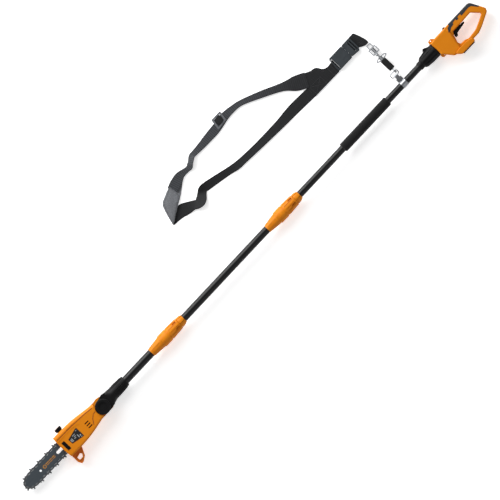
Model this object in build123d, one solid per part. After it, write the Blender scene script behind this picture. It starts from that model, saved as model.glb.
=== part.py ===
"""Telescoping pole saw: saw head, three-stage pole, loop handle and shoulder strap.

The saw is laid out on its side. Everything is drawn about the pole's axis: X runs along the pole from
the saw to the handle and is 0 beside the tilt joint, +Y is the side of the oil cap and the top of the
handle, +Z is up from the ground. PLACE then moves the whole saw so that it lies on Z = 0 under its
middle. All sizes are in millimetres.
"""
import os
from math import atan2, cos, degrees, hypot, pi, radians, sin

from build123d import *

os.makedirs("parts", exist_ok=True)

# ---- driving dimensions -------------------------------------------------------------------------
HALF_WIDTH = 32.0          # half of the head's and the battery foot's thickness: what it lies on
FLOOR = -HALF_WIDTH
CENTRE_X = 743.63          # middle of the whole saw along the pole
CENTRE_Y = 157.86          # middle of the whole layout across the pole, strap included
PLACE = Location((-CENTRE_X, -CENTRE_Y, HALF_WIDTH))

WALL = 2.6                 # moulded shells
FIT = 0.3                  # gap between pieces that move on each other

# saw head
HEAD_FRONT = -228.0
PIVOT = (-24.5, -5.6)      # tilt axis
LUG_R = 36.5               # round tongue of the head that the yoke straddles
TONGUE = 14.0              # half thickness of that tongue
CHEEK_R = 28.0
CHEEK_OUT = 24.0           # outer face of the yoke's cheeks
BOLT_R = 4.0
MOTOR_Z = 6.5              # height of the motor's axis
MOTOR_R = 20.5
CAP_X = -190.5
CAP_Z = 5.0

# bar and chain
BAR_Z = -8.0
BAR_TIP = -411.0
BAR_REAR = -194.0
BAR_HALF = 21.0
BAR_THICK = 3.2
STUD_X = -209.0
SPROCKET_X = -168.0
SPROCKET_R = 19.0
LINK = 9.525               # 3/8 inch low-profile chain: 9.525 mm from rivet to rivet

# pole
LOWER_R, MID_R, UPPER_R = 15.0, 14.0, 13.0
TUBE_WALL = 0.8
COLLARS = (229.0, 822.0)   # where each collar's cone begins
COLLAR_TUBE_END = 123.0    # how far the outer tube reaches into its collar
FOAM_SPAN = (1209.0, 1438.0)
FOAM_R = 17.9
HANGER_X = 1521.5

# handle
COUPLER_SPAN = (1613.0, 1683.5)
HANDLE_X = 1684.0          # front face of the handle
GRIP_HALF = 17.0           # half width of the loop
BODY_HALF = 25.0           # half width of the body in front of the loop

# strap
WEB = 2.2                  # thickness of the webbing
HOOK = Location((1531, 54, 0), (-12, 0, 0))   # the strap's hardware leans down to the ground

PARTS = {}


# ---- small helpers ------------------------------------------------------------------------------
def rod(x0, x1, r, y=0.0, z=0.0):
    """A round bar along X."""
    base = (Align.CENTER, Align.CENTER, Align.MIN)
    return Location((x0, y, z), (0, 90, 0)) * Cylinder(r, x1 - x0, align=base)


def pin(x, y, z0, z1, r):
    """A round bar along Z."""
    return Pos(x, y, z0) * Cylinder(r, z1 - z0, align=(Align.CENTER, Align.CENTER, Align.MIN))


def post(x, z, y0, y1, r):
    """A round bar along Y."""
    base = (Align.CENTER, Align.CENTER, Align.MIN)
    return Location((x, y0, z), (-90, 0, 0)) * Cylinder(r, y1 - y0, align=base)


def pipe(x0, x1, r_out, r_in):
    """A round tube along X."""
    return rod(x0, x1, r_out) - rod(x0 - 1, x1 + 1, r_in)


def block(x0, x1, y0, y1, z0, z1):
    """A box between six planes."""
    corner = (Align.MIN, Align.MIN, Align.MIN)
    return Pos(x0, y0, z0) * Box(x1 - x0, y1 - y0, z1 - z0, align=corner)


def outline(points):
    """A closed face from corners, each (x, y) or (x, y, radius)."""
    corners = [(p[0], p[1]) for p in points]
    radii = [p[2] if len(p) > 2 else 0 for p in points]
    if not any(radii):
        return make_face(Polyline(*corners, close=True))
    return make_face(FilletPolyline(*corners, radius=radii, close=True))


def slab(face, z0, z1):
    """A flat outline given thickness from z0 to z1."""
    flat = outline(face) if isinstance(face, list) else face
    return extrude(Pos(0, 0, z0) * flat, z1 - z0)


def turned(profile):
    """A profile of (x, r) points spun about the pole's axis."""
    return revolve(make_face(Polyline(*profile, close=True)), Axis.X)


def around_x(shape, count, start=0.0):
    """The same shape repeated round the pole's axis."""
    return [Rot(start + i * 360 / count, 0, 0) * shape for i in range(count)]


def trace(points, half):
    """Flat strokes of even width that follow a line of (x, y) points."""
    strokes = []
    for a, b in zip(points, points[1:]):
        dx, dy = b[0] - a[0], b[1] - a[1]
        middle = Location(((a[0] + b[0]) / 2, (a[1] + b[1]) / 2, 0), (0, 0, degrees(atan2(dy, dx))))
        strokes.append(middle * SlotCenterToCenter(hypot(dx, dy), 2 * half))
    return strokes


def grooves(profile, x0, x1, half, depth, count, start=0.0):
    """Cutters for grooves of even depth along a turned form, repeated round the pole's axis."""
    core = turned([(x, max(r - depth, 0)) for x, r in profile])
    return [cut - core for cut in around_x(block(x0, x1, -half, half, 0, 40), count, start)]


def group(shapes):
    """Separate solids kept as one part."""
    return Compound([solid for shape in shapes for solid in shape.solids()])


def keep(name, shape):
    PARTS[name] = shape


# ---- saw head -----------------------------------------------------------------------------------
def head_face(inset=0.0):
    """The housing seen from the side, without its round tongue."""
    d = inset
    top = Spline((-226 + d, 46 - d), (-175, 45 - d), (-122, 40.5 - d), (-75, 32.5 - d), (-46 - d, 29.5 - d))
    rear = Line((-46 - d, 29.5 - d), (-46 - d, -31 + d))
    bottom = Spline((-46 - d, -31 + d), (-80, -37 + d), (-122, -43.5 + d), (-175, -46.2 + d),
                    (-226 + d, -44.5 + d))
    front = ThreePointArc((-226 + d, -44.5 + d), (HEAD_FRONT + d, 0), (-226 + d, 46 - d))
    return make_face([top, rear, bottom, front])


def head_form(inset=0.0):
    """The outer form of the housing, or the hollow in it."""
    form = slab(head_face(inset), FLOOR + inset, HALF_WIDTH - inset)
    faces = form.faces().sort_by(Axis.Z)
    form = fillet([e for f in (faces[0], faces[-1]) for e in f.edges() if e.center().Y > 25], 13.0 - inset)
    faces = form.faces().filter_by(Axis.Z).sort_by(Axis.Z)
    return fillet([e for f in (faces[0], faces[-1]) for e in f.edges() if e.center().Y < -25], 7.0 - inset)


def cover_face(inset=0.0):
    """The removable cover over the sprocket, on the side that faces the ground."""
    x0, x1, y = -223 + inset, -134 - inset, 35 - inset
    return outline([(x0, -y, 4), (x1, -y + 6, 8), (x1, y - 6, 8), (x0, y, 4)])


HEAD_SCREWS = [(-126, 32), (-126, -34.5), (-60, 19), (-60, -22)]
WINDOW = [(-218, -24, 2), (-205, -24, 2), (-205, 12.6, 2), (-218, 12.6, 2)]
STEP_LINE = [(-222, 30.3), (-150, 28.6), (-90, 24.0), (-56, 19.5)]
BEAD_LINE = [(-222, 24.2), (-158, 24.0), (-142, 21), (-127, 16.6)]
VENT_LINE = [(-92, -26), (-79, -8), (-66, 1.5), (-55, 2.5)]
LABEL = [(-192, -17, 1.5), (-142, -28, 1.5), (-142, 14, 1.5), (-192, 4, 1.5)]


def head_shells():
    tongue = pin(*PIVOT, -TONGUE, TONGUE, LUG_R) & block(-80, 40, -33, 60, -40, 40)
    bridge = block(-60, PIVOT[0], -33, 29.4, -TONGUE, TONGUE)
    waist = pin(*PIVOT, FLOOR - 1, HALF_WIDTH + 1, CHEEK_R + 1.5)
    outer = head_form() - waist + tongue + bridge
    hollow = head_form(WALL) - block(-62, 0, -60, 60, -40, 40)
    bosses = [pin(x, y, FLOOR + 1, HALF_WIDTH - 1, 4.5) & head_form() for x, y in HEAD_SCREWS]
    body = outer - hollow + bosses
    body -= pin(*PIVOT, -40, 40, BOLT_R + 0.2)
    body -= block(HEAD_FRONT - 5, BAR_REAR, -36.5, 36.5, BAR_Z - 5.5, BAR_Z + 5.5)
    body -= post(CAP_X, CAP_Z, 30, 70, 11.0)
    body -= slab(WINDOW, HALF_WIDTH - 1.6, HALF_WIDTH + 1)
    body -= slab(LABEL, HALF_WIDTH - 1, HALF_WIDTH + 1)
    body -= slab(cover_face(), FLOOR - 1, BAR_Z - 4)
    body -= block(-230, -173, -50, -43, -7, 7)
    body -= rod(-232, -215, 3.3, y=-14.5, z=BAR_Z + 4.6)
    for stroke in trace(STEP_LINE, 1.5) + trace(VENT_LINE, 1.3):
        body -= slab(stroke, HALF_WIDTH - 1.6, HALF_WIDTH + 1)
    for stroke in trace(BEAD_LINE, 1.3):
        body += slab(stroke, HALF_WIDTH - 1, HALF_WIDTH + 0.8)
    for y in (-1.4, -11.0, -20.5):
        body -= slab(Pos(-104, y) * SlotOverall(18, 4.2), 20, 40)
        body -= slab(Pos(-104, y) * SlotOverall(18, 4.2), -40, -20)
    for x, y in HEAD_SCREWS:
        body -= pin(x, y, FLOOR - 1, 24, 1.6)
        body -= pin(x, y, FLOOR - 1, FLOOR + 8, 3.6)
    keep("head_shell_upper", body & block(-300, 50, -80, 80, 0, 60))
    keep("head_shell_lower", body & block(-300, 50, -80, 80, -60, 0))
    screws = []
    for x, y in HEAD_SCREWS:
        head = pin(x, y, FLOOR + 5, FLOOR + 8, 3.1) - pin(x, y, FLOOR + 4, FLOOR + 6.5, 1.5)
        screws.append(head + pin(x, y, FLOOR + 8, 22, 1.5))
    keep("head_screws", group(screws))
    keep("oil_window", slab(WINDOW, HALF_WIDTH - 1.6, HALF_WIDTH - 0.4))


def sprocket_cover():
    top = BAR_Z - 4
    shell = slab(cover_face(FIT), FLOOR, top) - slab(cover_face(FIT + 2.5), FLOOR + 2.5, top + 1)
    boss = pin(STUD_X, 0, FLOOR, FLOOR + 10, 10)
    well = pin(STUD_X, 0, FLOOR - 1, FLOOR + 7, 8)
    mouth = block(HEAD_FRONT - 1, -218, -34, 34, BAR_Z - 5.5, top + 1)
    keep("sprocket_cover", shell + boss - well - pin(STUD_X, 0, FLOOR, top, 4.2) - mouth)
    hexagon = slab(Pos(STUD_X, 0) * RegularPolygon(6.5, 6), FLOOR + 0.6, FLOOR + 7)
    nut = hexagon - pin(STUD_X, 0, FLOOR, FLOOR + 8, 4.0)
    seat = BAR_Z + BAR_THICK / 2
    stud = pin(STUD_X, 0, FLOOR + 2, seat, 4.0) + pin(STUD_X, 0, seat, 8, 7.5)
    keep("bar_stud_and_nut", group([nut, stud]))


def branch_hook():
    """Tab under the nose that hooks cut branches and pulls them down."""
    tab = [(-225, -43), (-226, -74, 5), (-219, -88.5, 3), (-210, -87.5, 4), (-192, -76, 3), (-175, -43)]
    hole = [(-217, -62.5, 2), (-199, -58, 2), (-194, -65, 2), (-201, -74, 2), (-215, -74, 2)]
    form = slab(tab, -7, 7) - slab(hole, -8, 8)
    sunk = offset(outline(tab), -4) - offset(outline(hole), 3.5)
    keep("branch_hook", form - slab(sunk, 4, 8) - slab(sunk, -8, -4))


def oil_system():
    grip = post(CAP_X, CAP_Z, 47.5, 61, 13.6)
    grip = chamfer(grip.edges().filter_by(GeomType.CIRCLE), 1.2)
    for i in range(14):
        angle = i * 2 * pi / 14
        grip -= post(CAP_X + 14.2 * cos(angle), CAP_Z + 14.2 * sin(angle), 46, 60, 1.4)
    keep("oil_cap", grip + post(CAP_X, CAP_Z, 34, 47.5, 9.8))
    tank = block(-221, -180, 9, 38, 3, 25) - block(-219, -182, 11, 36, 5, 23)
    keep("oil_tank", tank - post(CAP_X, CAP_Z, 30, 50, 10.1))


def bar_edge(grow=0.0):
    """The side outline of the bar, or of the chain round it and the sprocket."""
    half = BAR_HALF + grow
    tip = BAR_TIP - grow
    nose = ThreePointArc((-403, -13 - grow), (tip, 0), (-403, 13 + grow))
    top = Spline((-403, 13 + grow), (-392, 17.8 + grow), (-362, half), tangents=[(1, 0.62), (1, 0)])
    bottom = Spline((-362, -half), (-392, -17.8 - grow), (-403, -13 - grow), tangents=[(-1, 0), (-1, 0.62)])
    return top, bottom, nose, half


def bar_face(grow=0.0):
    top, bottom, nose, half = bar_edge(grow)
    rear = [Line((-362, half), (BAR_REAR, half)), Line((BAR_REAR, half), (BAR_REAR, -half))]
    return make_face([nose, top, *rear, Line((BAR_REAR, -half), (-362, -half)), bottom])


def guide_bar():
    """Flat bar with a groove for the drive links, a tensioning slot and an adjuster hole each side."""
    face = bar_face() - Pos(-228, 0) * SlotOverall(54, 11) - Pos(-338, 0) * Circle(3.9)
    face = face - Pos(-206, 14.5) * Circle(2.6) - Pos(-206, -14.5) * Circle(2.6)
    groove = slab(bar_face(1) - bar_face(-5.5), BAR_Z - 0.85, BAR_Z + 0.85)
    keep("guide_bar", slab(face, BAR_Z - BAR_THICK / 2, BAR_Z + BAR_THICK / 2) - groove)


def chain_path():
    """The closed line that the chain's rivets follow."""
    top, bottom, nose, half = bar_edge(3.4)
    wrap = ThreePointArc((SPROCKET_X, half), (SPROCKET_X + half, 0), (SPROCKET_X, -half))
    upper, lower = Line((-362, half), (SPROCKET_X, half)), Line((SPROCKET_X, -half), (-362, -half))
    return Wire([nose, top, upper, wrap, lower, bottom])


def saw_chain():
    """Drive links, pairs of side links and a cutter on every fourth rivet."""
    path = chain_path()
    pieces = []
    count = round(path.length / LINK / 2) * 2
    side = outline([(-7.6, -3.0, 2.3), (7.6, -3.0, 2.3), (7.6, 3.4, 2.4), (-7.6, 3.4, 2.4)])
    tooth = outline([(-7.4, -3.0, 2.3), (7.4, -3.0, 2.3), (7.6, 3.2, 1), (4.6, 7.4, 1), (1.6, 3.6, 1),
                     (-1.4, 4.2, 1), (-3.2, 10.4, 0.6), (-7.6, 8.6, 0.6)])
    drive = outline([(-6.6, 2.6, 1.5), (6.6, 2.6, 1.5), (5.2, -2.6, 1), (1.6, -7.6, 1), (-3.6, -7.6, 1),
                     (-5.2, -2.6, 1)])
    for i in range(count // 2):
        for step, is_drive in ((2 * i, True), (2 * i + 1, False)):
            at = ((step + 0.5) / count) % 1
            spot, along = path @ at, path % at
            turn = Location((spot.X, spot.Y, BAR_Z), (0, 0, degrees(atan2(along.Y, along.X))))
            if is_drive:
                pieces.append(turn * slab(drive, -0.65, 0.65))
            else:
                near = tooth if i % 4 == 0 else side
                far = tooth if i % 4 == 2 else side
                pieces.append(turn * slab(near, 0.8, 2.2))
                pieces.append(turn * slab(far, -2.2, -0.8))
    keep("saw_chain", group(pieces))


def drive_train():
    """Motor along the head, and a bevel pair that turns its drive to the sprocket."""
    can = rod(-126, -70, MOTOR_R, z=MOTOR_Z) + rod(-130, -126, 9, z=MOTOR_Z)
    keep("drive_motor", can + rod(-70, -66, 8, z=MOTOR_Z))
    pinion = rod(-146, -130.3, 2.5, z=MOTOR_Z) + rod(-157.5, -145, 5.2, z=MOTOR_Z)
    for i in range(9):
        flute = Location((-151, 0, MOTOR_Z), (40 * i, 0, 0)) * Pos(0, 0, 5.6) * Rot(0, 90, 0) * Cylinder(0.9, 14)
        pinion -= flute
    keep("motor_pinion", pinion)
    gear = pin(SPROCKET_X, 0, MOTOR_Z - 9, MOTOR_Z - 5.6, 19.5)
    for i in range(24):
        angle = radians(15 * i)
        gear -= pin(SPROCKET_X + 20 * cos(angle), 20 * sin(angle), MOTOR_Z - 7.4, MOTOR_Z - 5, 1.2)
    keep("ring_gear_shaft", gear + pin(SPROCKET_X, 0, BAR_Z - 9, 20, 5))
    race = pin(SPROCKET_X, 0, 13, 20, 11) - pin(SPROCKET_X, 0, 10, 22, 9)
    hub = pin(SPROCKET_X, 0, 13, 20, 7) - pin(SPROCKET_X, 0, 10, 22, 5.05)
    balls = [Pos(SPROCKET_X + 8 * cos(a * pi / 4), 8 * sin(a * pi / 4), 16.5) * Sphere(1) for a in range(8)]
    keep("shaft_bearing", group([race, hub, *balls]))
    teeth = pin(SPROCKET_X, 0, BAR_Z - 3, BAR_Z + 2.6, SPROCKET_R - 4)
    for i in range(6):
        angle = radians(60 * i)
        teeth -= pin(SPROCKET_X + 17 * cos(angle), 17 * sin(angle), -30, 30, 3.2)
    keep("drive_sprocket", teeth - pin(SPROCKET_X, 0, -40, 40, 5))
    tensioner = rod(-224, -200, 2.0, y=-14.5, z=BAR_Z + 4.6) + pin(-206, -14.5, BAR_Z - 1.2, BAR_Z + 3, 2.4)
    keep("chain_tension_screw", tensioner + rod(-226.5, -224, 2.9, y=-14.5, z=BAR_Z + 4.6))


# ---- tilt joint and yoke ------------------------------------------------------------------------
def tilt_joint():
    x, y = PIVOT
    knob = pin(x, y, CHEEK_OUT + 0.4, CHEEK_OUT + 15, CHEEK_R - 0.5)
    knob = fillet(knob.edges().filter_by(GeomType.CIRCLE).sort_by(Axis.Z)[-1], 3)
    for i in range(12):
        angle = radians(30 * i)
        knob -= pin(x + 31 * cos(angle), y + 31 * sin(angle), 20, 36, 4.6)
    dish = pin(x, y, CHEEK_OUT + 12, CHEEK_OUT + 16, 15.7)
    keep("tilt_knob", knob - dish - pin(x, y, 0, CHEEK_OUT + 8.3, BOLT_R + 0.05))
    head = slab(Pos(x, y) * RegularPolygon(7.5, 6), -CHEEK_OUT - 2.5, -CHEEK_OUT + 3)
    keep("tilt_bolt", head + pin(x, y, -CHEEK_OUT, CHEEK_OUT + 8, BOLT_R))


def head_yoke():
    x, y = PIVOT
    arm = outline([(x, 22.2), (0, 28, 2), (12, 26), (12, -29), (0, -31, 2), (x, -33.4)])
    cheeks = slab(arm, -CHEEK_OUT, CHEEK_OUT) + pin(x, y, -CHEEK_OUT, CHEEK_OUT, CHEEK_R)
    cheeks = chamfer(cheeks.faces().sort_by(Axis.Z)[-1].outer_wire().edges(), 1.2)
    root = Plane.YZ.offset(11.5) * Pos(-1.4, 0) * RectangleRounded(54, 2 * CHEEK_OUT - 1, 12)
    neck = loft([root, Plane.YZ.offset(30) * Circle(23.5)])
    socket = turned([(30, 0), (30, 23.5), (90, 20.2), (94, 20.2), (96, 18.6), (96, 0)])
    body = cheeks + neck + socket
    for rib in around_x(Pos(60, 0, 22.5) * Rot(0, 93.2, 0) * Box(1.6, 2.4, 56), 18, 10):
        body += rib & rod(31, 89, 23.4)
    body -= pin(x, y, -TONGUE - FIT, TONGUE + FIT, LUG_R + 0.6)
    body -= block(-60, x, -45, 45, -TONGUE - FIT, TONGUE + FIT)
    body -= pin(x, y, -40, 40, BOLT_R)
    body -= slab(Pos(x, y) * RegularPolygon(7.5, 6), -CHEEK_OUT - 1, -CHEEK_OUT + 3)
    keep("head_yoke", body - rod(20, 100, LOWER_R))


# ---- pole ---------------------------------------------------------------------------------------
def tubes():
    lower_end, mid_end = (c + COLLAR_TUBE_END for c in COLLARS)
    keep("lower_tube", pipe(20, lower_end, LOWER_R, LOWER_R - TUBE_WALL))
    keep("mid_tube", pipe(228, mid_end, MID_R, MID_R - TUBE_WALL))
    keep("upper_tube", pipe(792, HANDLE_X + 26, UPPER_R, UPPER_R - TUBE_WALL))


def collar(number, x0, outer_r, inner_r):
    """Cone on the outer tube with a split collet round the inner one, and the nut that closes it."""
    form = [(x0, 0), (x0, outer_r + 1.4), (x0 + 51, 21.6), (x0 + 51, 17), (x0 + 141.4, 17),
            (x0 + 143, 20.6), (x0 + 156, 19), (x0 + 165, inner_r + 2), (x0 + 165, 0)]
    body = turned(form)
    for cut in grooves(form[:3] + [(x0 + 51, 0)], x0 + 7, x0 + 45, 4.4, 1.1, 6):
        body -= cut
    body -= rod(x0 - 1, x0 + COLLAR_TUBE_END, outer_r)
    body -= rod(x0 + 100, x0 + 170, inner_r + FIT)
    for cut in around_x(block(x0 + 132, x0 + 170, -1.1, 1.1, 0, 30), 6, 15):
        body -= cut
    keep(f"collar_{number}_body", body)
    form = [(x0 + 51.3, 0), (x0 + 51.3, 23), (x0 + 53, 24.3), (x0 + 57, 24.3), (x0 + 57.4, 23.4),
            (x0 + 58.6, 23.4), (x0 + 59, 24.3), (x0 + 63, 24.3), (x0 + 63.4, 23.4), (x0 + 64.6, 23.4),
            (x0 + 65, 24.3), (x0 + 86, 24.3), (x0 + 87, 22.2), (x0 + 90, 22.2), (x0 + 91, 24),
            (x0 + 103, 23.4), (x0 + 139, 21.6), (x0 + 141, 20.4), (x0 + 141, 0)]
    nut = turned(form) - rod(x0 + 40, x0 + 150, 17 + FIT)
    for cut in grooves([(x0 + 90, 0), *form[13:]], x0 + 96, x0 + 137, 1.2, 1.7, 12, 5):
        nut -= cut
    for cut in around_x(block(x0 + 119, x0 + 136, -2.7, 2.7, 10, 40), 6, 20):
        nut -= cut
    keep(f"collar_{number}_nut", nut)


def upper_fittings():
    foam = pipe(*FOAM_SPAN, FOAM_R, UPPER_R)
    keep("foam_grip", fillet(foam.edges().filter_by(GeomType.CIRCLE).sort_by(SortBy.RADIUS)[-2:], 3))
    x0, x1 = HANGER_X - 11.5, HANGER_X + 11.5
    band = pipe(x0, x1, UPPER_R + 1.4, UPPER_R)
    ears = block(x0, x1, 12.5, 27, -4.4, -1.2) + block(x0, x1, 12.5, 27, 1.2, 4.4)
    lug = block(x0 + 4, x1 - 4, 26.5, 37.5, -1.9, 1.9) + rod(x0 + 4, x1 - 4, 4.2, y=38.5)
    slit = block(x0 - 1, x1 + 1, 10, 26.5, -1.2, 1.2)
    hanger = band + ears + lug + block(x0, x1, 25, 27.6, -4.4, 4.4) - slit
    hanger -= rod(x0 - 1, x1 + 1, UPPER_R)
    hanger -= rod(x0 - 5, x1 + 5, 1.6 + FIT, y=38.5)
    hanger -= pin(HANGER_X, 20, -10, 10, 2.1)
    keep("strap_hanger", hanger)
    nut = slab(Pos(HANGER_X, 20) * RegularPolygon(4, 6), -7.4, -4.4) - pin(HANGER_X, 20, -9, 0, 2)
    screw = pin(HANGER_X, 20, 4.4, 7, 4) - pin(HANGER_X, 20, 5.8, 8, 1.7) + pin(HANGER_X, 20, -8, 4.4, 2.0)
    keep("hanger_screw", group([screw, nut]))
    path = RectangleRounded(31.8, 15.8, 5.5).wire()
    section = Plane(origin=path @ 0, z_dir=path % 0) * Circle(1.6)
    keep("hanger_ring", Pos(HANGER_X + 0.5, 38.5 + 7.9, 0) * sweep(section, path=path))


def coupler():
    x0, x1 = COUPLER_SPAN
    form = [(x0 - 14, 0), (x0 - 14, 14.8), (x0 - 13, 15.4), (x0, 15.4), (x0 + 4, 20), (x0 + 12, 23),
            (x0 + 34, 25.6), (x1 - 3, 26.6), (x1, 24.5), (x1, 0)]
    nut = turned(form) - rod(x0 - 20, x1 + 1, UPPER_R + FIT)
    for cut in grooves(form, x0 + 9, x1 - 7, 1.9, 2.1, 12):
        nut -= cut
    nut -= block(x0 + 30, x1 - 12, 18, 40, -4.5, 4.5)
    keep("coupler_nut", nut)
    wedge = [(x0 + 30.4, 20.8), (x0 + 31.5, 26.5), (x0 + 39, 34.5, 1.5), (x0 + 43, 33.5, 2), (x0 + 57.8, 26.4),
             (x0 + 57.8, 20.8)]
    keep("coupler_latch", slab(wedge, -4.1, 4.1))


# ---- handle -------------------------------------------------------------------------------------
def shifted(points):
    """Corners given from the handle's front face."""
    return [(HANDLE_X + p[0], *p[1:]) for p in points]


RIM = shifted([(14, 23, 7), (26, 29.4, 8), (197, 29, 15), (225.5, -28, 9), (219, -40, 8), (169, -63, 25),
               (145, -71, 12), (60, -71.5, 8), (31, -64, 8), (14, -40, 8)])
WINDOW_RIM = shifted([(133, -1.5, 3), (176, 0, 6), (200.5, -28, 4), (196, -32.5, 4), (172, -43.5, 12),
                      (146, -54, 14), (108, -57.5, 12), (93, -51, 6), (74, -50, 5), (70, -40, 6), (80, -12, 6),
                      (87, -1.5, 3)])
BODY_RIM = shifted([(0.5, 26.5), (20, 28.6, 8), (70, 28.4, 7.5), (80, 12, 10), (68, -40, 8), (66, -60, 8),
                    (31, -64.5, 8), (13, -41, 8), (0.5, -26.5)])
FOOT_RIM = shifted([(36, -60, 4), (41, -68, 4), (53, -79.5, 4), (117, -79, 4), (117, -66, 4),
                    (100, -60, 5), (60, -57, 6)])
SOFT_ZONE = shifted([(72, 6), (80.5, 6.5), (91, 13), (105, 15), (108, 20.5), (122, 22), (124, 16),
                     (132.5, 16.6), (134, 23), (147, 23), (147, 15), (185, 17), (194, 14), (208, -5),
                     (211, -7.5), (240, 5), (215, 45), (92, 45), (91, 23), (82, 21)])


def loop_form(grow=0.0):
    """The closed loop of the handle, full width."""
    face = offset(outline(RIM), grow) if grow else outline(RIM)
    hole = offset(outline(WINDOW_RIM), -grow) if grow else outline(WINDOW_RIM)
    form = slab(face - hole, -GRIP_HALF - grow, GRIP_HALF + grow)
    faces = form.faces().sort_by(Axis.Z)
    return fillet(list(faces[0].edges()) + list(faces[-1].edges()), 5.0 + grow)


def bulge_form(points, half, radius, grow=0.0):
    """A wider block of the handle."""
    face = offset(outline(points), grow) if grow else outline(points)
    form = slab(face, -half - grow, half + grow)
    faces = form.faces().sort_by(Axis.Z)
    return fillet(list(faces[0].edges()) + list(faces[-1].edges()), radius + grow)


HANDLE_SCREWS = [(36, 17), (40, -52), (134, 10), (193, 8), (212, -33), (150, -62)]


def handle():
    outer = loop_form() + bulge_form(BODY_RIM, BODY_HALF, 6) + bulge_form(FOOT_RIM, HALF_WIDTH, 3.2)
    inner = loop_form(-WALL) + bulge_form(BODY_RIM, BODY_HALF, 6, -WALL)
    inner += bulge_form(FOOT_RIM, HALF_WIDTH, 3.2, -WALL)
    soft = slab(SOFT_ZONE, -40, 40)
    core = loop_form(-1.5) + bulge_form(BODY_RIM, BODY_HALF, 6, -1.5)
    grown = loop_form(0.6) + bulge_form(BODY_RIM, BODY_HALF, 6, 0.6)
    keep("grip_overmould", (grown - core) & soft)
    lugs = slab(shifted([(-3, 24), (-1, 36, 3), (5, 38.8, 3), (14, 38.5, 4), (24, 28)]), -9, 9)
    lugs += slab(shifted([(-3, -24), (-4.5, -34, 3), (1, -40.5, 3), (12, -40.5, 2), (16, -38)]), -9, 9)
    lugs -= rod(1600, HANDLE_X - 0.2, 27.2)
    bosses = [pin(HANDLE_X + x, y, -BODY_HALF + 1, BODY_HALF - 1, 4.2) & outer for x, y in HANDLE_SCREWS]
    collar_seat = rod(HANDLE_X + 0.5, HANDLE_X + 26, UPPER_R + 3)
    body = outer - inner + lugs + bosses + collar_seat
    body -= rod(HANDLE_X - 10, HANDLE_X + 26, UPPER_R)
    body -= soft - core
    body -= slab(shifted([(78, -26), (78, -10), (84, 4), (142, 4.4), (142, -26)]), -5.5, 5.5)
    body -= block(HANDLE_X + 63, HANDLE_X + 79, 20, 40, -5.5, 5.5)
    body -= block(HANDLE_X + 57, HANDLE_X + 113, -90, -75.5, -24, 24)
    for y in (33.0, -35.0):
        body -= pin(HANDLE_X + 8, y, -12, 12, 2.2)
    for x, y in HANDLE_SCREWS:
        body -= pin(HANDLE_X + x, y, -26, 10, 1.5)
        body -= pin(HANDLE_X + x, y, -40, -11.5, 3.3)
    keep("handle_shell_left", body & block(1600, 2000, -120, 60, 0, 60))
    keep("handle_shell_right", body & block(1600, 2000, -120, 60, -60, 0))
    screws = []
    for x, y in HANDLE_SCREWS:
        head = pin(HANDLE_X + x, y, -14, -11.5, 3.0) - pin(HANDLE_X + x, y, -15, -12.6, 1.4)
        screws.append(head + pin(HANDLE_X + x, y, -11.5, 9.5, 1.45))
    keep("handle_screws", group(screws))


def handle_insides():
    x = HANDLE_X
    lever = slab(shifted([(79, -24, 2), (89, -24, 2), (94, -16, 3), (136, -10, 2), (138.5, -3.5, 1),
                          (100, 0.5, 2), (97, 9.5, 2), (87, 9.5, 2), (83.5, 0, 2)]), -5.0, 5.0)
    keep("trigger", lever - pin(x + 92, 5, -8, 8, 2.05))
    keep("trigger_pin", pin(x + 92, 5, -11, 11, 2.0))
    wire = Wire(Helix(pitch=1.3, height=3.9, radius=3.0, center=(x + 92, 5, 5.8)).edges())
    coil = sweep(Plane(origin=wire @ 0, z_dir=wire % 0) * Circle(0.5), path=wire)
    keep("trigger_spring", coil)
    keep("switch_body", block(x + 102, x + 124, 5, 21, -8, 8) + post(x + 112, 0, 4.2, 6, 1.5))
    ramp = [(63.6, 21), (63.6, 28.5, 0.5), (70, 35, 1.2), (72.4, 35, 1.0), (78.4, 28.5, 0.5), (78.4, 21)]
    keep("lock_off_button", slab(shifted(ramp), -5.1, 5.1))
    shoe = block(x + 58, x + 112, -77.5, -75.6, -23.5, 23.5)
    rails = block(x + 58, x + 112, -83, -79.7, 18, 23.5) + block(x + 58, x + 112, -83, -79.7, -23.5, -18)
    webs = block(x + 58, x + 112, -79.7, -77.5, 20.8, 23.5) + block(x + 58, x + 112, -79.7, -77.5, -23.5, -20.8)
    keep("battery_rail", shoe + rails + webs)
    base = block(x + 70, x + 100, -75.6, -68, -14, 14)
    blades = [block(x + 62, x + 82, -81, -77.5, z - 0.5, z + 0.5) for z in (-12, -4, 4, 12)]
    keep("battery_terminals", group([base, *blades]))


def lead():
    """The lead is coiled at the saw end so that the tubes can slide, and straight in the upper tube."""
    keep("coiled_lead", pipe(40, 372, 9, 5))
    keep("straight_lead", rod(800, HANDLE_X + 60, 3))


# ---- strap --------------------------------------------------------------------------------------
def ribbon(upper, lower, z=FLOOR):
    """Flat webbing between its two long edges, lying at height z."""
    sides = [Spline(*upper), Spline(*lower)]
    ends = [Line(upper[0], lower[0]), Line(upper[-1], lower[-1])]
    return slab(make_face([*sides, *ends]), z, z + WEB)


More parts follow.
